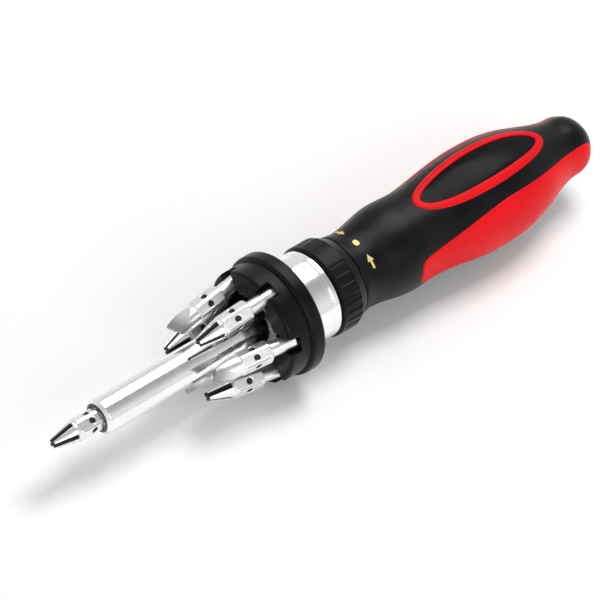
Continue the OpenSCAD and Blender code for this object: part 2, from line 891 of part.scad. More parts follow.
module selector_ring() {
    r = selector_d / 2;
    back_r = selector_back_d / 2;
    land_r = land_d / 2 + run_fit;
    land_end = land_back + side_gap / 2;
    color(black)
        difference() {
            union() {
                rotate_extrude()
                    polygon([
                        [land_r, selector_front], [r - edge_chamfer, selector_front],
                        [r, selector_front - edge_chamfer], [r, selector_back + selector_taper],
                        [back_r, selector_back + edge_chamfer], [back_r - edge_chamfer / 2, selector_back],
                        [cam_room_d / 2, selector_back], [cam_room_d / 2, land_end], [land_r, land_end]
                    ]);
                translate([0, 0, pawl_mid - cam_t / 2])
                    linear_extrude(cam_t) {
                        selector_cam();
                        mirror([0, 1])
                            selector_cam();
                        intersection() {
                            difference() {
                                circle(d = cam_room_d + 2 * pad_root);
                                circle(r = detent_r);
                            }
                            sector(selector_d, 180 - detent_half, 180 + detent_half);
                        }
                    }
            }
            for (turn = [-selector_swing, 0, selector_swing])
                rotate([0, 0, 180 + turn])
                    translate([detent_r, 0, pawl_mid - cam_t])
                        cylinder(h = 2 * cam_t, r = detent_notch_r);
            for (i = [0 : flute_count - 1])
                rotate([0, 0, (i + 0.5) * 360 / flute_count])
                    translate([r + flute_r - flute_bite, 0, selector_back + selector_taper])
                        cylinder(h = selector_len - selector_taper - flute_margin, r = flute_r);
        }
}

// Handle

// Half height of the handle at w behind its front, for a tail of half height end_r
function handle_r(w, end_r) =
    w < neck_at ? lerp(front_d, neck_d, ease(w / neck_at)) / 2
    : w < shoulder_at ? lerp(neck_d, shoulder_d, ease((w - neck_at) / (shoulder_at - neck_at))) / 2
    : w < waist_at ? lerp(shoulder_d, waist_d, ease((w - shoulder_at) / (waist_at - shoulder_at))) / 2
    : w < belly_at ? lerp(waist_d, belly_d, ease((w - waist_at) / (belly_at - waist_at))) / 2
    : lerp(belly_d / 2, end_r, ease(pow((w - belly_at) / (tail_at - belly_at), tail_bias)));

// Share of the section that the domed end leaves at w
function dome(w) =
    w <= dome_at ? 1
    : pow(1 - pow((w - dome_at) / (handle_len - dome_at) * end_close, dome_power), 1 / dome_power);

// What the rounded front edge takes off the section at w
function front_cut(w) =
    w >= front_round ? 0 : front_round * (1 - sqrt(1 - pow(1 - w / front_round, 2)));

// Half height above and below the axis and half width at w, raised by o
function top_r(w, o) = handle_r(w, tail_top) * dome(w) - front_cut(w) + o;
function bottom_r(w, o) = handle_r(w, tail_bottom) * dome(w) - front_cut(w) + o;
function side_r(w, o) = handle_r(w, (tail_top + tail_bottom) / 2) * dome(w) - front_cut(w) + o;

function signed_pow(v, p) = sign(v) * pow(abs(v), p);

// A point of the handle's skin at w and at an angle from the top, raised by o
function skin(w, a, o) =
    let (half = cos(a) >= 0 ? top_r(w, o) : bottom_r(w, o))
    [
        half * signed_pow(cos(a), 2 / section_power),
        side_r(w, o) * signed_pow(sin(a), 2 / section_power),
        handle_front - w
    ];

// Where the handle's sections stand, closer together at the rounded ends
function handle_stations() =
    let (steps = ceil((dome_at - front_round) / section_step))
    concat(
        [for (k = [0 : 2]) front_round * (1 - cos(30 * k))],
        [for (k = [0 : steps]) lerp(front_round, dome_at, k / steps)],
        [for (k = [1 : dome_steps]) lerp(dome_at, handle_len, sin(90 * k / dome_steps))]
    );

// Half width of a grip panel at w, in degrees, with rounded ends
function panel_half(w) =
    let (
        x = min(1, min(w - panel_from, panel_to - w) / panel_corner),
        blunt = lerp(0.5, 1, sqrt(1 - pow(1 - max(0, x), 2)))
    )
    lerp(panel_front_span, panel_span, ease((w - panel_from) / panel_sweep)) * blunt;

function panel_grid(o) =
    [for (i = [0 : panel_rows])
        let (w = lerp(panel_from, panel_to, (1 - cos(180 * i / panel_rows)) / 2), half = panel_half(w))
        [for (j = [0 : panel_cols]) skin(w, 90 - half + 2 * half * j / panel_cols, o)]];

// Height of the handle's top at w and y off its middle, raised by o
function top_at(w, y, o) =
    top_r(w, o) * pow(1 - pow(abs(y) / side_r(w, o), section_power), 1 / section_power);

// An oval on the handle's top, drawn in from the badge's edge by inset
function badge_oval(inset, o) =
    [for (i = [0 : badge_points - 1])
        let (
            w = badge_at + (badge_len / 2 - inset) * cos(360 * i / badge_points),
            y = (badge_w / 2 - inset) * sin(360 * i / badge_points)
        )
        [top_at(w, y, o), y, handle_front - w]];

// The badge's middle on the handle's top, raised by o
function badge_mid(o) = [top_at(badge_at, 0, o), 0, handle_front - badge_at];

module handle_core() {
    stem_hole = stem_len + side_gap;
    color(black)
        difference() {
            loft([for (w = handle_stations())
                [for (j = [0 : section_points - 1]) skin(w, 360 * j / section_points, 0)]]);
            for (side = [0, 1])
                mirror([0, side, 0])
                    slab(panel_grid(pocket_open), panel_grid(-panel_t));
            oval_slab(
                badge_mid(pocket_open), [for (inset = badge_insets) badge_oval(inset, pocket_open)],
                badge_mid(-badge_t), [for (inset = badge_insets) badge_oval(inset, -badge_t)]
            );
            translate([0, 0, handle_front - stem_hole])
                linear_extrude(stem_hole + cut_past)
                    stem_outline(seat_gap);
        }
}

module grip_panel() {
    color(soft_red)
        slab(panel_grid(panel_proud), panel_grid(-panel_t));
}

module grip_panel_right() {
    grip_panel();
}

module grip_panel_left() {
    mirror([0, 1, 0])
        grip_panel();
}

module badge_ring() {
    insets = [for (k = [1 : 3]) badge_insets[k]];
    rises = [0, panel_proud, 0];
    tops = [for (k = [0 : 2]) badge_oval(insets[k], rises[k])];
    bottoms = [for (inset = insets) badge_oval(inset, -badge_t)];
    color(soft_red)
        slab(
            [for (i = [0 : badge_points - 1]) [for (k = [0 : 2]) tops[k][i]]],
            [for (i = [0 : badge_points - 1]) [for (k = [0 : 2]) bottoms[k][i]]],
            wrap = true
        );
}

module badge_plate() {
    insets = [badge_insets[0], badge_insets[1]];
    color(black)
        oval_slab(
            badge_mid(-plate_sink), [for (inset = insets) badge_oval(inset, -plate_sink)],
            badge_mid(-badge_t), [for (inset = insets) badge_oval(inset, -badge_t)]
        );
}

on_axis() handle_core();
on_axis() grip_panel_left();
on_axis() grip_panel_right();
on_axis() badge_ring();
on_axis() badge_plate();
on_axis() ratchet_housing();
on_axis() front_ferrule();
on_axis() front_bush();
on_axis() rear_bush();
on_axis() pawl_pins();
on_axis() detent_spring();
on_axis() forward_pawl_spring();
on_axis() reverse_pawl_spring();
on_axis() selector_ring();
on_axis() forward_pawl();
on_axis() reverse_pawl();
on_axis() drive_shaft();
on_axis() ratchet_gear();
on_axis() chuck_magnet();
on_axis() bit_carrier();
on_axis() carrier_clip();
on_axis() thrust_washer();
on_axis() retaining_ring();
on_axis() driver_bit();
on_axis() stored_bit(0);  // stored_bit_1
on_axis() stored_bit(1);  // stored_bit_2
on_axis() stored_bit(2);  // stored_bit_3
on_axis() stored_bit(3);  // stored_bit_4
on_axis() stored_bit(4);  // stored_bit_5
on_axis() stored_bit(5);  // stored_bit_6
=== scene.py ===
"""Looks of a ratcheting screwdriver with a ring of spare bits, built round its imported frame.

The tool's axis is X with the tip at +X, the badge faces +Z, and every size is in metres.
"""

import logging
import math
from abc import ABC, abstractmethod
from collections.abc import Callable, Sequence
from dataclasses import dataclass, field
from enum import Enum
from functools import cache

import bpy
from mathutils import Matrix, Vector


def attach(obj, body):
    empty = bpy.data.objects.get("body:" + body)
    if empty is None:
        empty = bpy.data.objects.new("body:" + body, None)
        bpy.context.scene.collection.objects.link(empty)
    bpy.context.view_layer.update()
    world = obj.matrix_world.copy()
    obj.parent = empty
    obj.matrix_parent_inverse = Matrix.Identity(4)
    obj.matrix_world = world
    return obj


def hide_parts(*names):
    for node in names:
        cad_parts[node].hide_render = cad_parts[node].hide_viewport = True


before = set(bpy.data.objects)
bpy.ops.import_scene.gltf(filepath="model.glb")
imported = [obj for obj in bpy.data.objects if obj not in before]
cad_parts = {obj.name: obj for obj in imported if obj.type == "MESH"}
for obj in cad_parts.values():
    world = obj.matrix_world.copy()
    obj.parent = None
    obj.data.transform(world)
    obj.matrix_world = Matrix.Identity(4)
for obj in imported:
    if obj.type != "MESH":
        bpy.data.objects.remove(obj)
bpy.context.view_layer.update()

LOG = logging.getLogger("screwdriver")
MM = 0.001
NEAR_ZERO = 1e-6
CREASE_DEG = 32

Colour = tuple[float, float, float]
Triple = tuple[float, float, float]
Grid = list[list[Vector]]
Outline = Callable[[float], float]
Material = bpy.types.Material
Socket = bpy.types.NodeSocket


class PointKind(Enum):
    """The two kinds of working end on a bit."""

    CROSS = "cross"
    BLADE = "blade"

    @property
    def other(self) -> "PointKind":
        """The kind at the opposite end of the same bit."""
        return PointKind.BLADE if self is PointKind.CROSS else PointKind.CROSS


class Side(Enum):
    """A side of the handle as seen from behind it; the value is the sign of its Y."""

    LEFT = 1
    RIGHT = -1


class Shading(Enum):
    """How a mesh's faces are shaded."""

    SMOOTH = "smooth"
    CREASED = "creased"


class LampRole(Enum):
    """What a lamp does: it lights and is mirrored, only lights, or is only mirrored."""

    PLAIN = "plain"
    UNMIRRORED = "unmirrored"
    MIRRORED_ONLY = "mirrored_only"


def ease(t: float) -> float:
    """Eases from 0 to 1 with level ends."""
    c = min(1.0, max(0.0, t))
    return c * c * (3 - 2 * c)


def lerp(a: float, b: float, t: float) -> float:
    """Mixes a and b by t."""
    return a + (b - a) * t


def round_edge(d: float, width: float) -> float:
    """Height of a quarter-round edge, from 0 to 1, at a distance d inside it."""
    x = 1 - min(1.0, max(0.0, d / width))
    return math.sqrt(max(0.0, 1 - x * x))


class Nodes:
    """A node tree, and the nodes that are added to it."""

    def __init__(self, tree: bpy.types.NodeTree) -> None:
        """Starts from an emptied tree.

        Args:
            tree: The tree of a material or a world.
        """
        self.tree = tree
        self.tree.nodes.clear()

    def add(self, kind: str) -> bpy.types.Node:
        """Adds a node of a kind."""
        return self.tree.nodes.new(f"ShaderNode{kind}")

    def put(self, socket: Socket, value: object) -> None:
        """Links a socket to another one, or sets its value.

        Args:
            socket: The input that takes the value.
            value: An output socket, a number, or a tuple of numbers.
        """
        if isinstance(value, Socket):
            self.tree.links.new(value, socket)
        elif isinstance(value, tuple) and len(value) == 3 and socket.type == "RGBA":
            socket.default_value = (*value, 1.0)
        else:
            socket.default_value = value

    def ramp(
        self, value: object, low: float, high: float, to_low: object, to_high: object, kind: str = "LINEAR"
    ) -> Socket:
        """Maps a value from one span to another and holds it at both ends.

        Args:
            value: The value to map.
            low: Start of its span.
            high: End of its span.
            to_low: Result at the start.
            to_high: Result at the end.
            kind: How it runs between the ends.

        Returns:
            The mapped value.
        """
        node = self.add("MapRange")
        node.interpolation_type = kind
        for socket, v in zip(node.inputs, (value, low, high, to_low, to_high)):
            self.put(socket, v)
        return node.outputs[0]


class Graph(Nodes):
    """A material's nodes, with a principled shader at their end."""

    def __init__(self, name: str) -> None:
        """Starts a material.

        Args:
            name: The material's name.
        """
        self.material = bpy.data.materials.new(name)
        self.material.use_nodes = True
        super().__init__(self.material.node_tree)
        self.shader = self.add("BsdfPrincipled")
        self.put(self.add("OutputMaterial").inputs["Surface"], self.shader.outputs[0])
        self.coords = self.add("TexCoord").outputs["Object"]

    def set(self, **values: object) -> None:
        """Fills the principled shader's sockets; an underscore stands for a space."""
        for name, value in values.items():
            self.put(self.shader.inputs[name.replace("_", " ")], value)

    def math(self, kind: str, *values: object) -> Socket:
        """Adds a maths node.

        Args:
            kind: The operation.
            values: Its inputs in order.

        Returns:
            The node's output.
        """
        node = self.add("Math")
        node.operation = kind
        for socket, value in zip(node.inputs, values):
            self.put(socket, value)
        return node.outputs[0]

    def vector(self, kind: str, *values: object) -> Socket:
        """Adds a vector maths node.

        Args:
            kind: The operation.
            values: Its inputs in order.

        Returns:
            The node's vector, or its number for a dot product or a length.
        """
        node = self.add("VectorMath")
        node.operation = kind
        for socket, value in zip(node.inputs, values):
            self.put(socket, value)
        return node.outputs["Value" if kind in ("DOT_PRODUCT", "LENGTH") else "Vector"]

    def noise(self, scale: float, detail: float = 3.0, stretch: Triple = (1, 1, 1)) -> Socket:
        """Adds noise over the piece's own coordinates.

        Args:
            scale: Grains per metre.
            detail: Octaves of finer noise.
            stretch: Factors along X, Y and Z before the noise.

        Returns:
            The noise factor.
        """
        node = self.add("TexNoise")
        self.put(node.inputs["Vector"], self.vector("MULTIPLY", self.coords, stretch))
        node.inputs["Scale"].default_value = scale
        node.inputs["Detail"].default_value = detail
        return node.outputs["Fac"]

    def cells(self, scale: float) -> Socket:
        """Adds rounded cells over the piece's own coordinates.

        Args:
            scale: Cells per metre.

        Returns:
            The distance to the nearest cell's middle.
        """
        node = self.add("TexVoronoi")
        node.feature = "SMOOTH_F1"
        self.put(node.inputs["Vector"], self.coords)
        node.inputs["Scale"].default_value = scale
        return node.outputs["Distance"]

    def span(self, value: object, low: float, high: float, to_low: float, to_high: float) -> Socket:
        """Maps a value from one span to another with eased ends."""
        return self.ramp(value, low, high, to_low, to_high, "SMOOTHSTEP")

    def mix(self, factor: object, a: object, b: object) -> Socket:
        """Mixes two colours.

        Args:
            factor: Share of the second colour.
            a: The first colour.
            b: The second colour.

        Returns:
            The mixed colour.
        """
        node = self.add("Mix")
        node.data_type = "RGBA"
        for name, value in (("Factor_Float", factor), ("A_Color", a), ("B_Color", b)):
            self.put(next(s for s in node.inputs if s.identifier == name), value)
        return next(s for s in node.outputs if s.identifier == "Result_Color")

    def bump(self, height: object, depth: float, under: object = None) -> Socket:
        """Turns a height into a normal.

        Args:
            height: The height field.
            depth: Its depth in metres.
            under: A normal that the bump lies on.

        Returns:
            The bumped normal.
        """
        node = self.add("Bump")
        node.inputs["Distance"].default_value = depth
        self.put(node.inputs["Height"], height)
        if under is not None:
            self.put(node.inputs["Normal"], under)
        return node.outputs["Normal"]

    def eased_edges(self, radius: float) -> Socket:
        """Adds a normal that rounds sharp edges.

        Args:
            radius: Radius of the rounding in metres.

        Returns:
            The eased normal.
        """
        node = self.add("Bevel")
        node.samples = 4
        node.inputs["Radius"].default_value = radius
        return node.outputs["Normal"]

    def height_along(self, axis: Triple) -> Socket:
        """Gives the distance of a point along an axis through the piece's origin."""
        return self.vector("DOT_PRODUCT", self.coords, axis)


@dataclass(frozen=True)
class Finish(ABC):
    """A finish by its name; equal finishes share one material."""

    name: str

    @abstractmethod
    def paint(self, g: Graph) -> None:
        """Fills the material's graph."""

    @cache
    def material(self) -> Material:
        """Builds the material when it is first asked for.

        Returns:
            The finished material.
        """
        g = Graph(self.name)
        self.paint(g)
        return g.material


@dataclass(frozen=True)
class MouldedPlastic(Finish):
    """Hard moulded plastic with a fine spark-eroded grain."""

    colour: Colour
    sheen_colour: Colour
    roughness: float
    grain: float = 2600.0
    grain_depth: float = 0.01 * MM
    edge: float = 0.25 * MM
    gloss: float = 0.14
    patches: float = 90.0

    def paint(self, g: Graph) -> None:
        """Fills the graph with slightly uneven plastic.

        Args:
            g: The material's graph.
        """
        fine = g.noise(self.grain, 4.0)
        broad = g.noise(self.patches, 2.0)
        g.set(
            Base_Color=g.mix(g.span(broad, 0.35, 0.7, 0.0, 1.0), self.colour, self.sheen_colour),
            Roughness=g.span(broad, 0.3, 0.7, self.roughness - 0.05, self.roughness + 0.06),
            Normal=g.bump(fine, self.grain_depth, g.eased_edges(self.edge)),
            Specular_IOR_Level=self.gloss,
        )


@dataclass(frozen=True)
class SoftGrip(Finish):
    """Soft moulded rubber with a close pebble grain."""

    colour: Colour
    deep_colour: Colour
    roughness: float
    pebble: float = 2200.0
    pebble_depth: float = 0.018 * MM
    edge: float = 0.2 * MM
    gloss: float = 0.1
    patches: float = 70.0

    def paint(self, g: Graph) -> None:
        """Fills the graph with rubber that is deeper in colour between its pebbles.

        Args:
            g: The material's graph.
        """
        pebble = g.cells(self.pebble)
        broad = g.noise(self.patches, 2.0)
        shade = g.math("ADD", g.span(broad, 0.3, 0.7, 0.0, 0.45), g.span(pebble, 0.25, 0.6, 0.0, 0.3))
        g.set(
            Base_Color=g.mix(shade, self.colour, self.deep_colour),
            Roughness=g.span(broad, 0.3, 0.7, self.roughness - 0.06, self.roughness + 0.08),
            Normal=g.bump(pebble, self.pebble_depth, g.eased_edges(self.edge)),
            Specular_IOR_Level=self.gloss,
        )


@dataclass(frozen=True)
class Plating(Finish):
    """Bright plating or polished metal with faint turning marks round the tool's axis, painted dark as shade
    ahead of a point along that axis.
    """

    colour: Colour
    dull_colour: Colour
    roughness: float
    # colour, start, fade and added roughness of the dark band painted as shade at the front end
    painted_shade_colour: Colour = (0.1, 0.1, 0.105)
    painted_shade_from: float = 1.0
    painted_shade_fade: float = 0.15 * MM
    painted_shade_rough: float = 0.25
    marks: float = 5200.0
    marks_depth: float = 0.0015 * MM
    edge: float = 0.2 * MM
    patches: float = 120.0

    def paint(self, g: Graph) -> None:
        """Fills the graph with plating, painted dark and rougher as shade ahead of a point along the axis.

        Args:
            g: The material's graph.
        """
        turning = g.noise(self.marks, 2.0, (1.0, 0.02, 0.02))
        broad = g.noise(self.patches, 3.0)
        plated = g.mix(g.span(broad, 0.35, 0.75, 0.0, 1.0), self.colour, self.dull_colour)
        along = g.height_along((1.0, 0.0, 0.0))
        # bare is the share of the dark band painted as shade at the front end
        bare = g.span(along, self.painted_shade_from, self.painted_shade_from + self.painted_shade_fade, 0.0, 1.0)
        polish = g.span(turning, 0.3, 0.75, self.roughness * 0.7, self.roughness * 1.5)
        g.set(
            Base_Color=g.mix(bare, plated, self.painted_shade_colour),
            Metallic=1.0,
            Roughness=g.math("ADD", polish, g.math("MULTIPLY", bare, self.painted_shade_rough)),
            Normal=g.bump(turning, self.marks_depth, g.eased_edges(self.edge)),
        )


@dataclass(frozen=True)
class EndSize:
    """Sizes of one working end of a bit."""

    root_r: float
    neck: float
    point: float

    @property
    def reach(self) -> float:
        """Length from the hexagon to the end."""
        return self.neck + self.point


@dataclass(frozen=True)
class BitSteel(Finish):
    """Ground bit steel: bright flats and necks, dimples and flutes painted dark as the shade in them, and a
    darker blade.

    The bit's own axis is Z from the middle of its hexagon, with its front end at +Z. A band holds the
    depths between which a hollow is painted dark as shade.
    """

    across_flats: float
    hex_half: float
    cross: EndSize
    cross_share: float
    cross_side: int
    blade: EndSize
    bright: Colour = (0.88, 0.88, 0.885)
    dull: Colour = (0.66, 0.65, 0.64)
    # dark is painted as shade in the dimples and flutes, and darkens the blade's end
    dark: Colour = (0.02, 0.02, 0.022)
    hollow_shade: float = 0.97
    dimple_band: tuple[float, float] = (0.06 * MM, 0.28 * MM)
    dimple_margin: float = 1.0 * MM
    flute_band: tuple[float, float] = (0.04 * MM, 0.35 * MM)
    edge_fade: float = 0.1 * MM
    blade_clear: float = 2.0 * MM
    blade_fade: float = 4.5 * MM
    blade_shade: float = 0.6
    blade_drift: float = 1.2 * MM
    drift_scale: float = 350.0
    mottle: float = 600.0
    grinding: float = 2600.0
    grinding_depth: float = 0.002 * MM
    hollow_rough: float = 0.2

    def dimples(self, g: Graph, up: Socket) -> Socket:
        """Finds the dimples in the hexagon's flats.

        Args:
            g: The material's graph.
            up: Height along the bit.

        Returns:
            1 in a dimple and 0 elsewhere.
        """
        flats = None
        for turn in (0, 60, 120):
            a = math.radians(turn)
            reach = g.math("ABSOLUTE", g.height_along((math.cos(a), math.sin(a), 0.0)))
            flats = reach if flats is None else g.math("MAXIMUM", flats, reach)
        half = self.across_flats / 2
        shallow, deep = self.dimple_band
        sunk = g.span(flats, half - deep, half - shallow, 1.0, 0.0)
        last = self.hex_half - self.dimple_margin
        in_hex = g.span(g.math("ABSOLUTE", up), last - 2 * self.edge_fade, last, 1.0, 0.0)
        return g.math("MULTIPLY", sunk, in_hex)

    def flutes(self, g: Graph, up: Socket) -> Socket:
        """Finds the flutes of the cross point as what lies under the cone of its arms.

        Args:
            g: The material's graph.
            up: Height along the bit.

        Returns:
            1 in a flute and 0 elsewhere.
        """
        start = self.cross_side * (self.hex_half + self.cross.neck)
        end = start + self.cross_side * self.cross.point
        root = self.cross.root_r
        cone = g.ramp(up, start, end, root, root * self.cross_share)
        off_axis = g.vector("LENGTH", g.vector("MULTIPLY", g.coords, (1.0, 1.0, 0.0)))
        sunk = g.span(g.math("SUBTRACT", cone, off_axis), *self.flute_band, 0.0, 1.0)
        on_point = g.span(up, start, start + self.cross_side * self.edge_fade, 0.0, 1.0)
        return g.math("MULTIPLY", sunk, on_point)

    def paint(self, g: Graph) -> None:
        """Fills the graph with ground steel, with painted shade in its hollows and darker towards the
        blade's end.

        Args:
            g: The material's graph.
        """
        up = g.height_along((0.0, 0.0, 1.0))
        mottle = g.noise(self.mottle, 3.0)
        sway = g.math("SUBTRACT", g.noise(self.drift_scale, 1.0), 0.5)
        drift = g.math("MULTIPLY", sway, self.blade_drift)
        root = -self.cross_side * (self.hex_half + self.blade.neck + self.blade_clear)
        dark_from = root - self.cross_side * self.blade_fade
        blade = g.span(g.math("ADD", up, drift), root, dark_from, 0.0, self.blade_shade)
        # painted shade: the dimples and flutes take the dark colour where shade falls in them
        hollows = g.math("MAXIMUM", self.dimples(g, up), self.flutes(g, up))
        dark = g.math("MAXIMUM", g.math("MULTIPLY", hollows, self.hollow_shade), blade)
        grinding = g.noise(self.grinding, 2.0, (0.25, 0.25, 1.0))
        polish = g.span(grinding, 0.3, 0.7, 0.3, 0.38)
        clean = g.mix(g.span(mottle, 0.4, 0.7, 0.0, 0.3), self.bright, self.dull)
        g.set(
            Base_Color=g.mix(dark, clean, self.dark),
            Metallic=1.0,
            Roughness=g.math("ADD", polish, g.math("MULTIPLY", dark, self.hollow_rough)),
            Normal=g.bump(grinding, self.grinding_depth),
        )


@dataclass(frozen=True)
class BareMetal(Finish):
    """Machined, cast or spring metal inside the tool."""

    colour: Colour
    stain: Colour
    roughness: float
    grain: float = 900.0
    grain_depth: float = 0.008 * MM
    edge: float = 0.1 * MM
    patches: float = 160.0

    def paint(self, g: Graph) -> None:
        """Fills the graph with grained metal in uneven patches.

        Args:
            g: The material's graph.
        """
        grain = g.noise(self.grain, 4.0)
        broad = g.noise(self.patches, 3.0)
        g.set(
            Base_Color=g.mix(g.span(broad, 0.4, 0.75, 0.0, 1.0), self.colour, self.stain),
            Metallic=1.0,
            Roughness=g.span(grain, 0.3, 0.7, self.roughness - 0.08, self.roughness + 0.1),
            Normal=g.bump(grain, self.grain_depth, g.eased_edges(self.edge)),
        )


@dataclass(frozen=True)
class FoilPrint(Finish):
    """Thin hot-stamped gilt foil, slightly worn."""

    colour: Colour
    worn: Colour
    wear: float = 1800.0
    wear_depth: float = 0.006 * MM

    def paint(self, g: Graph) -> None:
        """Fills the graph with foil in two tones.

        Args:
            g: The material's graph.
        """
        wear = g.noise(self.wear, 4.0)
        g.set(
            Base_Color=g.mix(g.span(wear, 0.5, 0.75, 0.0, 1.0), self.colour, self.worn),
            Metallic=0.4,
            Roughness=g.span(wear, 0.3, 0.7, 0.4, 0.6),
            Normal=g.bump(wear, self.wear_depth),
        )


@dataclass(frozen=True)
class TablePaper(Finish):
    """Plain paper on the table top."""

    colour: Colour
    fibre_colour: Colour
    fibre: float = 400.0
    fibre_depth: float = 0.01 * MM

    def paint(self, g: Graph) -> None:
        """Fills the graph with matt paper.

        Args:
            g: The material's graph.
        """
        fibres = g.noise(self.fibre, 2.0)
        g.set(
            Base_Color=g.mix(fibres, self.colour, self.fibre_colour),
            Roughness=g.span(fibres, 0.3, 0.7, 0.75, 0.85),
            Normal=g.bump(fibres, self.fibre_depth),
        )


BLACK = MouldedPlastic("handle_black_plastic", (0.0028, 0.0028, 0.0036), (0.005, 0.005, 0.0062), 0.33)
PLATE = MouldedPlastic(
    "badge_black_plastic", (0.002, 0.002, 0.0024), (0.0035, 0.0035, 0.0042), 0.26,
    grain=1500.0, grain_depth=0.004 * MM, gloss=0.07,
)
CARRIER = MouldedPlastic(
    "carrier_black_plastic", (0.0028, 0.0028, 0.0036), (0.005, 0.005, 0.0062), 0.32,
    grain=2200.0, grain_depth=0.012 * MM, edge=0.4 * MM,
)
SELECTOR = MouldedPlastic(
    "selector_black_plastic", (0.0026, 0.0026, 0.0034), (0.0048, 0.0048, 0.006), 0.32,
    grain=2400.0, edge=0.3 * MM,
)
RED = SoftGrip("soft_red_grip", (0.76, 0.006, 0.01), (0.6, 0.003, 0.006), 0.42)
CHROME = Plating("bright_chrome", (0.94, 0.94, 0.945), (0.88, 0.885, 0.895), 0.15)
# the shaft's front end is painted dark as shade
SHAFT_CHROME = Plating("shaft_chrome", (0.94, 0.94, 0.945), (0.88, 0.885, 0.895), 0.14, painted_shade_from=-0.3 * MM)
GEAR_STEEL = BareMetal("hardened_gear_steel", (0.5, 0.5, 0.52), (0.4, 0.4, 0.41), 0.34)
CASTING = BareMetal(
    "housing_casting", (0.33, 0.33, 0.35), (0.25, 0.25, 0.26), 0.48, grain=700.0, grain_depth=0.02 * MM
)
SPRING = BareMetal("oiled_spring_steel", (0.36, 0.36, 0.38), (0.24, 0.24, 0.27), 0.3)
BRONZE = BareMetal(
    "bearing_bronze", (0.62, 0.42, 0.2), (0.5, 0.32, 0.14), 0.42, grain=2400.0, grain_depth=0.012 * MM
)
MAGNET = BareMetal("plated_magnet", (0.55, 0.55, 0.56), (0.45, 0.44, 0.43), 0.24)
GILT = FoilPrint("gilt_foil", (0.82, 0.6, 0.2), (0.5, 0.33, 0.1))
TABLE = TablePaper("white_table_top", (0.93, 0.93, 0.93), (0.96, 0.96, 0.96))


def grid_faces(rows: int, cols: int, wrap: bool, close: bool = False) -> list[tuple[int, ...]]:
    """Lists the quads of a grid of points.

    Args:
        rows: Number of rows.
        cols: Number of points in a row.
        wrap: Whether each row closes on itself.
        close: Whether the last row joins the first.

    Returns:
        The quads as indices, row by row.
    """
    starts = [i * cols for i in range(rows)]
    pairs = list(zip(starts, starts[1:]))
    if close:
        pairs.append((starts[-1], starts[0]))
    steps = [(j, (j + 1) % cols) for j in range(cols if wrap else cols - 1)]
    return [(low + j, low + k, high + k, high + j) for low, high in pairs for j, k in steps]


def make_mesh(
    name: str,
    points: Sequence[Vector],
    faces: Sequence[tuple[int, ...]],
    material: Material,
    shading: Shading = Shading.SMOOTH,
) -> bpy.types.Mesh:
    """Makes a mesh.

    Args:
        name: The mesh's name.
        points: Its points.
        faces: Its faces as indices, turned outwards.
        material: Its finish.
        shading: How its faces are shaded.

    Returns:
        The mesh.
    """
    mesh = bpy.data.meshes.new(name)
    mesh.from_pydata([tuple(p) for p in points], [], faces)
    mesh.validate()
    mesh.materials.append(material)
    mesh.shade_smooth()
    if shading is Shading.CREASED:
        mesh.set_sharp_from_angle(angle=math.radians(CREASE_DEG))
    return mesh


def make_closed_mesh(name: str, grid: Grid, material: Material, shading: Shading) -> bpy.types.Mesh:
    """Makes a mesh from rings of points, with a cap at each end.

    Args:
        name: The mesh's name.
        grid: Rings of as many points each, from one end to the other.
        material: Its finish.
        shading: How its faces are shaded.

    Returns:
        The mesh.
    """
    cols = len(grid[0])
    faces = grid_faces(len(grid), cols, True)
    faces.append(tuple(reversed(range(cols))))
    faces.append(tuple((len(grid) - 1) * cols + j for j in range(cols)))
    return make_mesh(name, [p for ring in grid for p in ring], faces, material, shading)


def link(name: str, data: bpy.types.ID) -> bpy.types.Object:
    """Puts a mesh, a lamp or a camera into the scene.

    Args:
        name: The object's name.
        data: The mesh, lamp or camera.

    Returns:
        The linked object.
    """
    made = bpy.data.objects.new(name, data)
    bpy.context.collection.objects.link(made)
    return made


def dress(nodes: Sequence[str], material: Material) -> None:
    """Gives CAD nodes a finish and reports them.

    Args:
        nodes: The nodes' names.
        material: The finish.
    """
    for name in nodes:
        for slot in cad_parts[name].material_slots:
            slot.link = "OBJECT"
            slot.material = material
        LOG.info("dressed %s in %s", name, material.name)


def seat(piece: bpy.types.Object, body: str, stands_for: Sequence[str] = ()) -> None:
    """Fixes a piece to its body and reports it.

    Args:
        piece: The piece in place.
        body: The CAD body that it rides on.
        stands_for: CAD nodes that it replaces.
    """
    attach(piece, body)
    if stands_for:
        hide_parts(*stands_for)
    LOG.info("made %s on %s", piece.name, body)


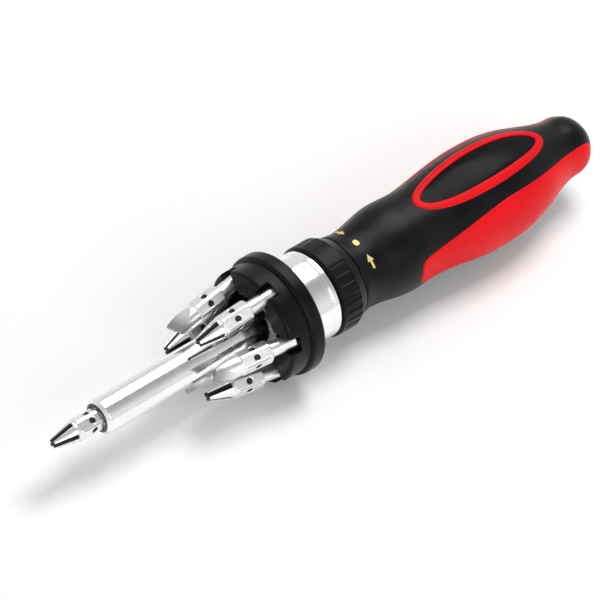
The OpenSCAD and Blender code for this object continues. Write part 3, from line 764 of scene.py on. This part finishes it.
@dataclass
class Handle:
    """The handle: a shaped black core, red side grips, an oval badge and the direction marks."""

    front_x: float = -90.5 * MM
    length: float = 95.5 * MM
    front_r: float = 12.0 * MM
    neck_r: float = 11.5 * MM
    neck_at: float = 4.5 * MM
    shoulder_r: float = 13.5 * MM
    shoulder_at: float = 20.0 * MM
    waist_r: float = 13.15 * MM
    waist_at: float = 28.0 * MM
    belly_r: float = 15.2 * MM
    belly_at: float = 53.0 * MM
    tail_top: float = 9.6 * MM
    tail_bottom: float = 7.9 * MM
    tail_at: float = 87.0 * MM
    tail_bias: float = 1.5
    dome_at: float = 86.5 * MM
    dome_power: float = 2.4
    end_close: float = 0.985
    front_round: float = 1.0 * MM
    section_power: float = 2.25
    stem_r: float = 8.6 * MM
    panel_from: float = 20.5 * MM
    panel_to: float = 93.0 * MM
    panel_proud: float = 0.3 * MM
    panel_edge: float = -0.35 * MM
    panel_under: float = -0.6 * MM
    panel_roll: float = 0.8 * MM
    panel_front_span: float = 20.0
    panel_span: float = 41.0
    panel_sweep: float = 36.0 * MM
    panel_corner: float = 4.0 * MM
    panel_blunt: float = 0.5
    badge_at: float = 52.5 * MM
    badge_half: tuple[float, float] = (25.0 * MM, 8.5 * MM)
    badge_ring: float = 3.0 * MM
    ring_edge: float = -0.4 * MM
    ring_roll: float = 0.9 * MM
    hollow: float = 0.9 * MM
    hollow_from: float = 1.08
    hollow_fade: float = 0.16
    hollow_span: float = 60.0
    plate_sink: float = 0.25 * MM
    plate_lap: float = 0.4 * MM
    plate_thick: float = 0.5 * MM
    oval_points: int = 120
    mark_at: float = 5.2 * MM
    mark_proud: float = 0.03 * MM
    mark_under: float = -0.05 * MM
    mark_least: float = 0.02 * MM
    dot_r: float = 0.85 * MM
    arrow_tail: float = 0.38 * MM
    arrow_wide: float = 1.1 * MM
    arrow_head: float = 0.48
    arrow_from: float = 46.0
    arrow_to: float = 22.0

    def radius(self, w: float, end_r: float) -> float:
        """Gives the half height of the plain form.

        Args:
            w: Distance behind the handle's front.
            end_r: Half height of the tail on that side.

        Returns:
            The half height, before the ends are rounded.
        """
        stations = [
            (0.0, self.front_r), (self.neck_at, self.neck_r), (self.shoulder_at, self.shoulder_r),
            (self.waist_at, self.waist_r), (self.belly_at, self.belly_r),
        ]
        for (w0, r0), (w1, r1) in zip(stations, stations[1:]):
            if w < w1:
                return lerp(r0, r1, ease((w - w0) / (w1 - w0)))
        t = (w - self.belly_at) / (self.tail_at - self.belly_at)
        return lerp(self.belly_r, end_r, ease(max(0.0, t) ** self.tail_bias))

    def half(self, w: float, end_r: float, lift: float) -> float:
        """Gives the half height with the rounded ends.

        Args:
            w: Distance behind the handle's front.
            end_r: Half height of the tail on that side.
            lift: Height above the surface.

        Returns:
            The half height.
        """
        r = self.radius(w, end_r)
        if w > self.dome_at:
            x = (w - self.dome_at) / (self.length - self.dome_at) * self.end_close
            r *= max(0.0, 1 - x**self.dome_power) ** (1 / self.dome_power)
        if w < self.front_round:
            r -= self.front_round * (1 - math.sqrt(max(0.0, 1 - (1 - w / self.front_round) ** 2)))
        return r + lift

    def skin(self, w: float, angle: float, lift: float = 0.0) -> Vector:
        """Gives a point of the surface.

        Args:
            w: Distance behind the handle's front.
            angle: Degrees from the top, positive to the left side.
            lift: Height above the surface.

        Returns:
            The point in the tool's frame.
        """
        a = math.radians(angle)
        c, s = math.cos(a), math.sin(a)
        p = 2 / self.section_power
        high = self.half(w, self.tail_top if c >= 0 else self.tail_bottom, lift)
        wide = self.half(w, (self.tail_top + self.tail_bottom) / 2, lift)
        return Vector((
            self.front_x - w,
            wide * math.copysign(abs(s) ** p, s),
            high * math.copysign(abs(c) ** p, c),
        ))

    def top(self, w: float, y: float, lift: float = 0.0) -> Vector:
        """Gives a point on the upper surface.

        Args:
            w: Distance behind the handle's front.
            y: Distance off the middle.
            lift: Height above the surface.

        Returns:
            The point in the tool's frame.
        """
        wide = self.half(w, (self.tail_top + self.tail_bottom) / 2, lift)
        high = self.half(w, self.tail_top, lift)
        rest = max(0.0, 1 - (abs(y) / wide) ** self.section_power)
        return Vector((self.front_x - w, y, high * rest ** (1 / self.section_power)))

    def stations(self) -> list[float]:
        """Lists the core's sections, closer together at the rounded ends.

        Returns:
            Their distances behind the handle's front.
        """
        turns, steps, domes = 9, 170, 18
        front = [self.front_round * (1 - math.cos(math.pi / 2 * k / turns)) for k in range(turns)]
        middle = [lerp(self.front_round, self.dome_at, k / steps) for k in range(steps + 1)]
        bends = [math.sin(math.pi / 2 * k / domes) for k in range(1, domes + 1)]
        return front + middle + [lerp(self.dome_at, self.length, bend) for bend in bends]

    def core_lift(self, w: float, angle: float) -> float:
        """Gives the sink of the core's surface under the badge.

        Args:
            w: Distance behind the handle's front.
            angle: Degrees from the top.

        Returns:
            The lift, zero away from the badge.
        """
        if abs(angle) > self.hollow_span:
            return 0.0
        y = self.skin(w, angle).y
        a, b = self.badge_half
        inset = self.badge_ring / 2
        e = math.hypot((w - self.badge_at) / (a - inset), y / (b - inset))
        return -self.hollow * ease((self.hollow_from - e) / self.hollow_fade)

    def build_core(self) -> None:
        """Builds the black core with a hollow under the badge."""
        cols = 200
        angles = [360 * j / cols - 180 for j in range(cols)]
        grid = [[self.skin(w, a, self.core_lift(w, a)) for a in angles] for w in self.stations()]
        turns = [math.radians(a) for a in angles]
        mouth = [Vector((self.front_x, self.stem_r * math.sin(t), self.stem_r * math.cos(t))) for t in turns]
        name = "handle_core_moulding"
        mesh = make_closed_mesh(name, [mouth, *grid], BLACK.material(), Shading.CREASED)
        seat(link(name, mesh), "handle", ["handle_core"])

    def panel_half(self, w: float) -> float:
        """Gives a grip panel's half width in degrees.

        Args:
            w: Distance behind the handle's front.

        Returns:
            The half width, drawn in at the rounded ends.
        """
        x = min(1.0, max(0.0, min(w - self.panel_from, self.panel_to - w) / self.panel_corner))
        blunt = lerp(self.panel_blunt, 1.0, math.sqrt(1 - (1 - x) ** 2))
        swept = ease((w - self.panel_from) / self.panel_sweep)
        return lerp(self.panel_front_span, self.panel_span, swept) * blunt

    def build_panel(self, side: Side) -> None:
        """Builds one soft red grip with rolled edges and a plain underside in the core.

        Args:
            side: The side that it lies on.
        """
        rows, cols, under_step = 150, 60, 5
        across = [math.sin(math.pi * (j / cols - 0.5)) for j in range(cols + 1)]
        grid: Grid = []
        for i in range(rows + 1):
            w = lerp(self.panel_from, self.panel_to, (1 - math.cos(math.pi * i / rows)) / 2)
            half = self.panel_half(w)
            reach = self.half(w, self.tail_bottom, 0.0) * math.radians(half)
            ring = []
            for v in across:
                edge = min((1 - abs(v)) * reach, w - self.panel_from, self.panel_to - w)
                lift = lerp(self.panel_edge, self.panel_proud, round_edge(edge, self.panel_roll))
                ring.append(self.skin(w, side.value * 90 + half * v, lift))
            for v in across[::-under_step]:
                ring.append(self.skin(w, side.value * 90 + half * v, self.panel_under))
            grid.append(ring)
        node = f"grip_panel_{side.name.lower()}"
        name = f"{node}_moulding"
        mesh = make_closed_mesh(name, grid, RED.material(), Shading.SMOOTH)
        seat(link(name, mesh), "handle", [node])

    def oval(self, inset: float, lift: float, share: float = 1.0) -> list[Vector]:
        """Gives points on an oval drawn in from the badge's edge.

        Args:
            inset: Distance in from the edge.
            lift: Height above the surface.
            share: Share of the oval's size.

        Returns:
            The points in order round the oval.
        """
        a, b = ((half - inset) * share for half in self.badge_half)
        turns = [2 * math.pi * i / self.oval_points for i in range(self.oval_points)]
        return [self.top(self.badge_at + a * math.cos(t), -b * math.sin(t), lift) for t in turns]

    def build_ring(self) -> None:
        """Builds the badge's raised red ring."""
        steps = 14
        rings = []
        for k in range(steps + 1):
            t = k / steps
            crown = round_edge(min(t, 1 - t) * self.badge_ring, self.ring_roll)
            rings.append(self.oval(self.badge_ring * t, lerp(self.ring_edge, self.panel_proud, crown)))
        name = "badge_ring_moulding"
        faces = grid_faces(len(rings), self.oval_points, True, close=True)
        mesh = make_mesh(name, [p for ring in rings for p in ring], faces, RED.material())
        seat(link(name, mesh), "handle", ["badge_ring"])

    def build_plate(self) -> None:
        """Builds the bare black plate inside the badge's ring."""
        steps, inmost = 16, 0.01
        edge = self.badge_ring - self.plate_lap
        shares = [lerp(1.0, inmost, k / steps) for k in range(steps + 1)]
        face = [self.oval(edge, -self.plate_sink, share) for share in shares]
        under = [self.oval(edge, -self.plate_sink - self.plate_thick, share) for share in shares[::-1]]
        name = "badge_plate_moulding"
        mesh = make_closed_mesh(name, under + face, PLATE.material(), Shading.CREASED)
        seat(link(name, mesh), "handle", ["badge_plate"])

    def dot_half(self, t: float) -> float:
        """Half width of a round dot at 0 to 1 along it."""
        return self.dot_r * math.sqrt(max(0.0, 1 - (2 * t - 1) ** 2))

    def arrow_half(self, t: float) -> float:
        """Half width of an arrow at 0 to 1 from its tail to its point."""
        return self.arrow_tail if t < 1 - self.arrow_head else self.arrow_wide * (1 - t) / self.arrow_head

    def build_mark(self, name: str, outline: Outline, from_deg: float, to_deg: float) -> None:
        """Builds one thin gilt mark that runs round the neck.

        Args:
            name: The mark's name.
            outline: Half width of the mark at 0 to 1 along it.
            from_deg: Angle where it starts.
            to_deg: Angle where it ends.
        """
        steps = 28
        way = math.copysign(1, to_deg - from_deg)
        grid: Grid = []
        for i in range(steps + 1):
            t = i / steps
            a = lerp(from_deg, to_deg, t)
            half = way * max(self.mark_least, outline(t))
            across = [self.mark_at + half * v for v in (1, 0.5, 0, -0.5, -1)]
            face = [self.skin(w, a, self.mark_proud) for w in across]
            under = [self.skin(w, a, self.mark_under) for w in across[::-1]]
            grid.append(face + under)
        mesh = make_closed_mesh(name, grid, GILT.material(), Shading.CREASED)
        seat(link(name, mesh), "handle")

    def build_marks(self) -> None:
        """Builds the gilt dot and the two direction arrows on the neck."""
        span = math.degrees(self.dot_r / self.neck_r)
        self.build_mark("lock_dot", self.dot_half, -span, span)
        for name, sign in (("forward_arrow", -1), ("reverse_arrow", 1)):
            self.build_mark(name, self.arrow_half, sign * self.arrow_from, sign * self.arrow_to)

    def build(self) -> None:
        """Builds the whole handle."""
        self.build_core()
        for side in Side:
            self.build_panel(side)
        self.build_ring()
        self.build_plate()
        self.build_marks()


@dataclass
class Bit:
    """One double-ended bit: a dimpled hexagon, a broad point ahead of it and a slim one behind it."""

    across_flats: float = 6.35 * MM
    hex_len: float = 10.0 * MM
    front: EndSize = EndSize(3.1 * MM, 0.75 * MM, 7.25 * MM)
    rear: EndSize = EndSize(2.25 * MM, 8.5 * MM, 6.0 * MM)
    cross_share: float = 0.5
    flute_in: float = 1.1 * MM
    flute_core: float = 0.6 * MM
    blade_half: float = 0.4 * MM
    dimple_r: float = 1.1 * MM
    dimple_depth: float = 0.5 * MM
    dimple_power: int = 4
    corner_round: float = 0.25 * MM
    chamfer: float = 0.6 * MM
    cols: int = 144
    end_rows: int = 56
    shank_rows: int = 92
    chamfer_rows: int = 6
    meshes: dict[PointKind, bpy.types.Mesh] = field(default_factory=dict)

    @property
    def front_reach(self) -> float:
        """Distance from the middle of the hexagon to the front end."""
        return self.hex_len / 2 + self.front.reach

    @property
    def rear_reach(self) -> float:
        """Distance from the middle of the hexagon to the rear end."""
        return self.hex_len / 2 + self.rear.reach

    def hex_r(self, angle: float, z: float) -> float:
        """Gives the shank's radius, with eased corners, chamfered ends and dimples.

        Args:
            angle: Radians round the bit.
            z: Distance from the middle of the hexagon.

        Returns:
            The radius.
        """
        flat = self.across_flats / 2
        a = (angle + math.pi / 6) % (math.pi / 3) - math.pi / 6
        corner = flat / math.cos(math.pi / 6)
        r = min(flat / math.cos(a), corner - self.corner_round)
        r = min(r, corner - self.chamfer + (self.hex_len / 2 - abs(z)))
        d = math.hypot(flat * math.tan(a), z)
        if d < self.dimple_r:
            r -= self.dimple_depth * (1 - (d / self.dimple_r) ** self.dimple_power)
        return r

    def point_r(self, kind: PointKind, size: EndSize, angle: float, up: float) -> float:
        """Gives a working end's radius.

        Args:
            kind: The kind of end.
            size: Its sizes.
            angle: Radians round the bit.
            up: Distance from the hexagon.

        Returns:
            The radius.
        """
        root = size.root_r
        t = (up - size.neck) / size.point
        if kind is PointKind.BLADE:
            half = lerp(2 * root, self.blade_half, (1 + t) / 2)
            return min(root, half / max(NEAR_ZERO, abs(math.cos(angle))))
        if t <= 0:
            return root
        a = angle % (math.pi / 2) - math.pi / 4
        wall = max(NEAR_ZERO, math.cos(a) - abs(math.sin(a)))
        cone = lerp(root, root * self.cross_share, t)
        return min(cone, lerp(root - self.flute_in, self.flute_core, t) / wall)

    def rows(self, front: PointKind) -> list[tuple[float, Outline]]:
        """Lists the bit's sections from rear to front.

        Args:
            front: The kind of the front end; the rear end is the other.

        Returns:
            The height of each section and its radius at an angle.
        """
        edge = self.hex_len / 2

        def end(kind: PointKind, size: EndSize, sign: int) -> list[tuple[float, Outline]]:
            """Lists the sections of one end, from the hexagon outwards."""
            ups = [size.reach * k / self.end_rows for k in range(self.end_rows + 1)]
            return [(sign * (edge + u), lambda a, u=u: self.point_r(kind, size, a, u)) for u in ups]

        chamfer = [edge - self.chamfer * k / self.chamfer_rows for k in range(self.chamfer_rows + 1)]
        span = edge - self.chamfer
        inner = [lerp(-span, span, k / self.shank_rows) for k in range(1, self.shank_rows)]
        levels = [-z for z in chamfer] + inner + chamfer[::-1]
        shank = [(z, lambda a, z=z: self.hex_r(a, z)) for z in levels]
        return end(front.other, self.rear, -1)[::-1] + shank + end(front, self.front, 1)

    def ring(self, z: float, radius: Outline) -> list[Vector]:
        """Gives the points of one section.

        Args:
            z: Its height.
            radius: Its radius at an angle.

        Returns:
            The points in order round the bit.
        """
        turns = [2 * math.pi * j / self.cols for j in range(self.cols)]
        return [Vector((radius(a) * math.cos(a), radius(a) * math.sin(a), z)) for a in turns]

    def steel(self, front: PointKind) -> BitSteel:
        """Gives the steel, with painted shade in its hollows where this bit has them.

        Args:
            front: The kind of the front end.

        Returns:
            The finish.
        """
        crossed = front is PointKind.CROSS
        return BitSteel(
            f"bit_steel_{front.value}", self.across_flats, self.hex_len / 2,
            cross=self.front if crossed else self.rear,
            cross_share=self.cross_share,
            cross_side=1 if crossed else -1,
            blade=self.rear if crossed else self.front,
        )

    def mesh(self, front: PointKind) -> bpy.types.Mesh:
        """Builds, once, the mesh of a bit.

        Args:
            front: The kind of the front end.

        Returns:
            The mesh about the bit's own axis, Z.
        """
        if front not in self.meshes:
            grid = [self.ring(z, radius) for z, radius in self.rows(front)]
            material = self.steel(front).material()
            self.meshes[front] = make_closed_mesh(f"bit_{front.value}", grid, material, Shading.CREASED)
        return self.meshes[front]

    def place(self, node: str, front: PointKind, matrix: Matrix) -> None:
        """Puts a bit where its CAD node is.

        Args:
            node: The CAD node, and the body, that it stands for.
            front: The kind of the front end.
            matrix: The bit's place, from its own axis to the tool's frame.
        """
        piece = link(f"{node}_steel", self.mesh(front))
        piece.matrix_world = matrix
        seat(piece, node, [node])


@dataclass
class BitSet:
    """The bit in use and the six spare bits in the carrier."""

    bit: Bit = field(default_factory=Bit)
    count: int = 6
    circle_r: float = 14.2 * MM
    web_x: float = -61.5 * MM
    lean: float = 8.0
    phase: float = -10.0
    bit_turn: float = -30.0
    pocket: float = 5.5 * MM
    reach: float = 16.0 * MM

    def axis_frame(self) -> Matrix:
        """Turns a piece drawn along Z onto the tool's axis, its own X upwards."""
        return Matrix(((0, 0, 1, 0), (0, -1, 0, 0), (1, 0, 0, 0), (0, 0, 0, 1)))

    def build(self) -> None:
        """Builds all the bits."""
        onto_axis = self.axis_frame()
        spin = Matrix.Rotation(math.radians(self.bit_turn), 4, "Z")
        out = Matrix.Translation((0, 0, self.reach - self.bit.front_reach))
        self.bit.place("driver_bit", PointKind.CROSS, onto_axis @ out @ spin)
        put = Matrix.Translation((self.circle_r, 0, self.web_x))
        lean = Matrix.Rotation(math.radians(-self.lean), 4, "Y")
        up = Matrix.Translation((0, 0, self.bit.rear_reach - self.pocket))
        for i in range(self.count):
            turn = Matrix.Rotation(math.radians(360 * i / self.count + self.phase), 4, "Z")
            front = PointKind.CROSS if i % 2 == 0 else PointKind.BLADE
            self.bit.place(f"stored_bit_{i + 1}", front, onto_axis @ turn @ put @ lean @ up @ spin)


@dataclass
class DressedNodes:
    """CAD nodes that show as they are, listed under their finishes."""

    finishes: tuple[tuple[Finish, tuple[str, ...]], ...] = ()

    def build(self) -> None:
        """Dresses the nodes."""
        for finish, nodes in self.finishes:
            dress(nodes, finish.material())


@dataclass
class Shaft(DressedNodes):
    """The chromed shaft, the ferrule and the black bit carrier."""

    finishes: tuple[tuple[Finish, tuple[str, ...]], ...] = (
        (SHAFT_CHROME, ("drive_shaft",)),
        (CHROME, ("front_ferrule",)),
        (CARRIER, ("bit_carrier",)),
        (SPRING, ("carrier_clip", "retaining_ring")),
    )


@dataclass
class Ratchet(DressedNodes):
    """The selector ring and the ratchet works inside it."""

    finishes: tuple[tuple[Finish, tuple[str, ...]], ...] = (
        (SELECTOR, ("selector_ring",)),
        (CASTING, ("ratchet_housing",)),
        (GEAR_STEEL, ("ratchet_gear", "forward_pawl", "reverse_pawl", "pawl_pins")),
        (SPRING, ("detent_spring", "forward_pawl_spring", "reverse_pawl_spring")),
        (BRONZE, ("front_bush", "rear_bush", "thrust_washer")),
        (MAGNET, ("chuck_magnet",)),
    )


@dataclass(frozen=True)
class Lamp:
    """A soft square lamp; its power is in watts."""

    name: str
    at: Triple
    size: float
    power: float
    role: LampRole = LampRole.PLAIN

    def build(self, target: Triple) -> None:
        """Adds the lamp.

        Args:
            target: The point that it is aimed at.
        """
        data = bpy.data.lights.new(self.name, "AREA")
        data.size = self.size
        data.energy = self.power
        lamp = link(self.name, data)
        lamp.location = self.at
        lamp.rotation_mode = "QUATERNION"
        lamp.rotation_quaternion = (Vector(target) - Vector(self.at)).to_track_quat("-Z", "Y")
        lamp.visible_diffuse = self.role is not LampRole.MIRRORED_ONLY
        lamp.visible_glossy = self.role is not LampRole.UNMIRRORED


@dataclass
class Studio:
    """A white table top under soft light, and the camera."""

    floor_z: float = -18.9 * MM
    floor_half: float = 1.6
    target: Triple = (-75.9 * MM, 0.0, 0.0)
    back: Triple = (0.5, 0.46, 0.73)
    up: Triple = (-0.4306, -0.5924, 0.681)
    distance: float = 1.8
    frame_width: float = 0.171
    near: float = 0.01
    fill: float = 0.5
    horizon_grey: float = 0.8
    sky_grey: float = 0.4
    sky_span: tuple[float, float] = (0.25, 0.85)
    lamps: tuple[Lamp, ...] = (
        Lamp("overhead_lamp", (-0.34, -0.03, 0.7), 0.3, 3.2, LampRole.UNMIRRORED),
        Lamp("side_lamp", (0.1, 0.8, 0.45), 0.6, 2.8),
        Lamp("sheen_panel", (-0.42, -0.24, 0.62), 0.45, 3.0, LampRole.MIRRORED_ONLY),
    )

    def build_floor(self) -> None:
        """Builds the floor, which shows as plain white and keeps a soft shadow."""
        steps, s = 24, self.floor_half
        points = [
            Vector((lerp(-s, s, i / steps), lerp(-s, s, j / steps), self.floor_z))
            for i in range(steps + 1)
            for j in range(steps + 1)
        ]
        faces = grid_faces(steps + 1, steps + 1, False)
        link("table_top", make_mesh("table_top", points, faces, TABLE.material()))

    def build_world(self) -> None:
        """Builds a white surround: a soft fill, which metal mirrors as greyer overhead."""
        world = bpy.data.worlds.new("white_surround")
        bpy.context.scene.world = world
        world.use_nodes = True
        nodes = Nodes(world.node_tree)
        ray = nodes.add("LightPath").outputs
        aim = nodes.add("SeparateXYZ")
        nodes.put(aim.inputs[0], nodes.add("TexCoord").outputs["Generated"])
        sky = nodes.ramp(aim.outputs["Z"], *self.sky_span, self.horizon_grey, self.sky_grey, "SMOOTHSTEP")
        mirrored = nodes.ramp(ray["Is Glossy Ray"], 0.0, 1.0, self.fill, sky)
        surround = nodes.add("Background")
        nodes.put(surround.inputs["Color"], (1.0, 1.0, 1.0))
        nodes.put(surround.inputs["Strength"], nodes.ramp(ray["Is Camera Ray"], 0.0, 1.0, mirrored, 1.0))
        nodes.put(nodes.add("OutputWorld").inputs["Surface"], surround.outputs[0])

    def build_camera(self) -> None:
        """Sets the camera at the photograph's angle."""
        data = bpy.data.cameras.new("camera")
        data.lens = data.sensor_width * self.distance / self.frame_width
        data.clip_start = self.near
        camera = link("camera", data)
        back = Vector(self.back).normalized()
        right = Vector(self.up).cross(back).normalized()
        up = back.cross(right)
        place = Matrix((right, up, back)).transposed().to_4x4()
        place.translation = Vector(self.target) + back * self.distance
        camera.matrix_world = place
        bpy.context.scene.camera = camera

    def build(self) -> None:
        """Builds the whole studio."""
        bpy.context.scene.view_settings.view_transform = "Standard"
        self.build_floor()
        self.build_world()
        for lamp in self.lamps:
            lamp.build(self.target)
        self.build_camera()


def main() -> None:
    """Builds the tool and its studio."""
    logging.basicConfig(level=logging.INFO, format="%(message)s")
    for assembly in (Handle(), BitSet(), Shaft(), Ratchet(), Studio()):
        LOG.info("building %s", type(assembly).__name__)
        assembly.build()


if __name__ == "__main__":
    main()
